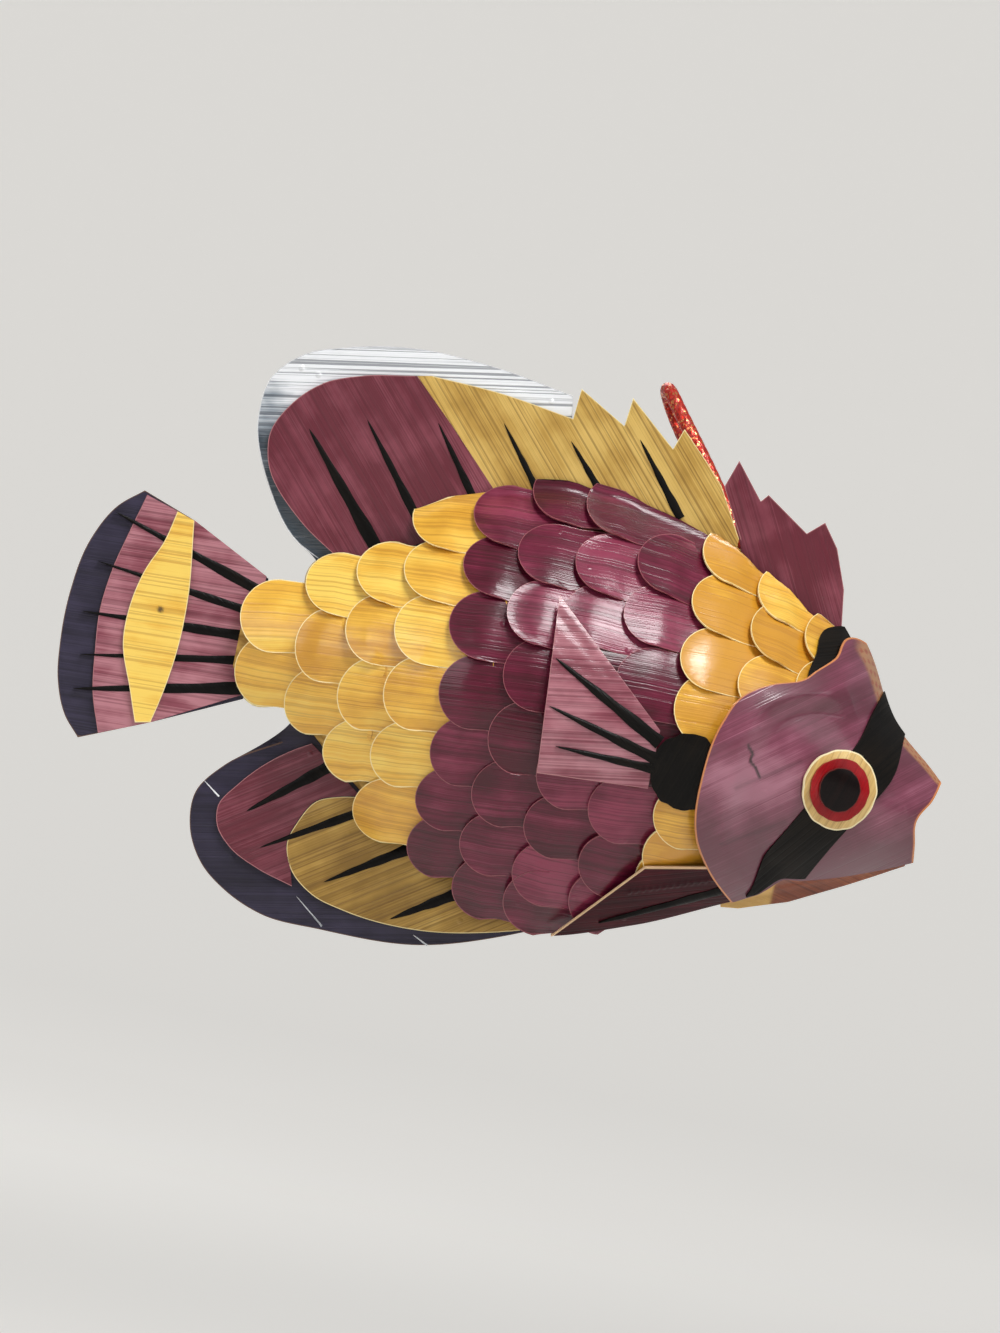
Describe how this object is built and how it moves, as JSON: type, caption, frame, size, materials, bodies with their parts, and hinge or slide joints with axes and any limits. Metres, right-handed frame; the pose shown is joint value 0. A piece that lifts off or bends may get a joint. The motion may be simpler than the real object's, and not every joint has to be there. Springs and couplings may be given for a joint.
{
  "type": "fish ornament",
  "caption": "Hanging fish ornament of dyed palm leaf: a lens-shaped body in lapped rows of scales, leaf fins on stiff cards, stacked paper eyes and a loop of cord on the back.",
  "frame": {"origin": "on the middle plane, on the back where the hanging cord is tied", "axes": "+X from tail to snout, +Y to the fish's left, +Z from belly to back"},
  "size_m": [0.1507, 0.0558, 0.1036],
  "materials": {
    "yellow_leaf": "golden dyed palm leaf, lengthwise grain, clear lacquer",
    "mauve_leaf": "plum dyed palm leaf, lengthwise grain, clear lacquer",
    "head_leaf": "lighter plum dyed palm leaf, creased, clear lacquer",
    "russet_leaf": "russet dyed palm leaf with bare straw patches, clear lacquer",
    "indigo_card": "dark indigo leaf on stiff card, high lacquer",
    "black_leaf": "black dyed leaf, satin",
    "red_paper": "red paper, gloss",
    "core_paper": "bare paper and leaf filling, matte",
    "cord_thread": "red braided cord with metallic thread",
    "clear_glue": "dried clear glue"
  },
  "bodies": {
    "fish": {"body_core": "core_paper", "rear_yellow_scales_1_right": "yellow_leaf", "rear_yellow_scales_1_left": "yellow_leaf", "rear_yellow_scales_2_right": "yellow_leaf", "rear_yellow_scales_2_left": "yellow_leaf", "rear_yellow_scales_3_right": "yellow_leaf", "rear_yellow_scales_3_left": "yellow_leaf", "rear_yellow_scales_4_right": "yellow_leaf", "rear_yellow_scales_4_left": "yellow_leaf", "mauve_scales_1_right": "mauve_leaf", "mauve_scales_1_left": "mauve_leaf", "mauve_scales_2_right": "mauve_leaf", "mauve_scales_2_left": "mauve_leaf", "mauve_scales_3_right": "mauve_leaf", "mauve_scales_3_left": "mauve_leaf", "mauve_scales_4_right": "mauve_leaf", "mauve_scales_4_left": "mauve_leaf", "front_yellow_scales_1_right": "yellow_leaf", "front_yellow_scales_1_left": "yellow_leaf", "front_yellow_scales_2_right": "yellow_leaf", "front_yellow_scales_2_left": "yellow_leaf", "front_yellow_scales_3_right": "yellow_leaf", "front_yellow_scales_3_left": "yellow_leaf", "head_cover_right": "head_leaf", "nape_patch_right": "black_leaf", "eye_band_right": "black_leaf", "eye_ring_right": "yellow_leaf", "eye_iris_right": "red_paper", "eye_pupil_right": "black_leaf", "gill_disc_right": "black_leaf", "pectoral_fin_right": "mauve_leaf", "pelvic_fin_right": "mauve_leaf", "dorsal_rear_facing_right": "mauve_leaf", "dorsal_front_facing_right": "yellow_leaf", "tail_facing_right": "mauve_leaf", "tail_spindle_right": "yellow_leaf", "anal_rear_facing_right": "mauve_leaf", "anal_front_facing_right": "yellow_leaf", "head_cover_left": "head_leaf", "nape_patch_left": "black_leaf", "eye_band_left": "black_leaf", "eye_ring_left": "yellow_leaf", "eye_iris_left": "red_paper", "eye_pupil_left": "black_leaf", "gill_disc_left": "black_leaf", "pectoral_fin_left": "mauve_leaf", "pelvic_fin_left": "mauve_leaf", "dorsal_rear_facing_left": "mauve_leaf", "dorsal_front_facing_left": "yellow_leaf", "tail_facing_left": "mauve_leaf", "tail_spindle_left": "yellow_leaf", "anal_rear_facing_left": "mauve_leaf", "anal_front_facing_left": "yellow_leaf", "dorsal_fin_card": "indigo_card", "tail_fin_card": "indigo_card", "anal_fin_card": "indigo_card", "front_dorsal_fin": "mauve_leaf", "chin_strip": "russet_leaf", "cord_glue_pad": "clear_glue"},
    "loop": {"hang_loop": "cord_thread"}
  },
  "joints": [
    {"name": "loop_swing", "type": "hinge", "parent": "fish", "child": "loop", "pos_m": [0.00125, 0.00646, -0.00232], "axis": [0, 0.7866, -0.6174], "range_deg": [-35, 100]}
  ]
}
